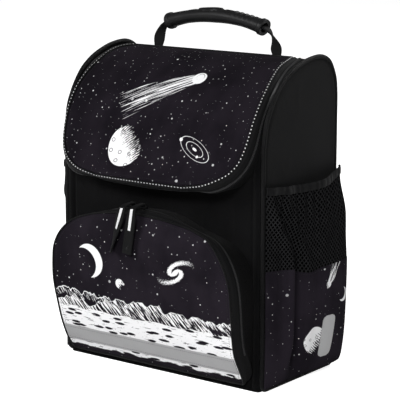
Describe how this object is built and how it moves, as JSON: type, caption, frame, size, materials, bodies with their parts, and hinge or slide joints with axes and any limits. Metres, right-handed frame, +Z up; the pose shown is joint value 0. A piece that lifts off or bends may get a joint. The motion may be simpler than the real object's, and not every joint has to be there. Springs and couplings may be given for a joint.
{
  "type": "school ransel backpack",
  "caption": "Stiff arched school backpack with a leaning zipped lid, front pocket, side pockets, carrying handle and shoulder straps.",
  "frame": {"origin": "centre of the bounding box on the floor", "axes": "+X to the right seen from the front, -Y to the front, +Z up"},
  "size_m": [0.3196, 0.2412, 0.395],
  "materials": {
    "black_cloth": "matte woven polyester, black",
    "printed_cloth": "smooth printed polyester, dark night print",
    "mesh_cloth": "open knitted mesh, black",
    "binding": "ribbed binding tape, black",
    "webbing": "woven webbing and zip tape, black",
    "reflective": "retroreflective tape, light grey",
    "rubber": "moulded soft grip, satin black",
    "hard_plastic": "moulded plastic, black"
  },
  "bodies": {
    "root": {"front_panel": "black_cloth", "back_panel": "black_cloth", "base_panel": "black_cloth", "side_panel_right": "black_cloth", "side_panel_left": "black_cloth", "side_piping_right": "binding", "side_piping_left": "binding", "top_binding": "binding", "lid_panel": "printed_cloth", "lid_piping": "reflective", "lid_border": "binding", "lid_zipper": "webbing", "lid_gusset": "black_cloth", "pocket_face": "printed_cloth", "pocket_piping": "binding", "pocket_border": "binding", "pocket_zipper": "webbing", "pocket_gusset": "black_cloth", "pocket_reflector": "reflective", "pocket_slider_right": "hard_plastic", "pocket_slider_left": "hard_plastic", "pocket_puller_right": "webbing", "pocket_puller_left": "webbing", "side_pocket_print_right": "printed_cloth", "side_pocket_print_left": "printed_cloth", "side_pocket_mesh_right": "mesh_cloth", "side_pocket_mesh_left": "mesh_cloth", "side_pocket_binding_right": "binding", "side_pocket_binding_left": "binding", "side_pocket_reflector_right": "reflective", "side_pocket_reflector_left": "reflective", "handle_grip": "rubber", "handle_webbing_right": "webbing", "handle_webbing_left": "webbing", "strap_anchor": "black_cloth", "shoulder_strap_right": "black_cloth", "shoulder_strap_left": "black_cloth", "strap_buckle_right": "hard_plastic", "strap_buckle_left": "hard_plastic", "strap_webbing_right": "webbing", "strap_webbing_left": "webbing"}
  },
  "joints": []
}
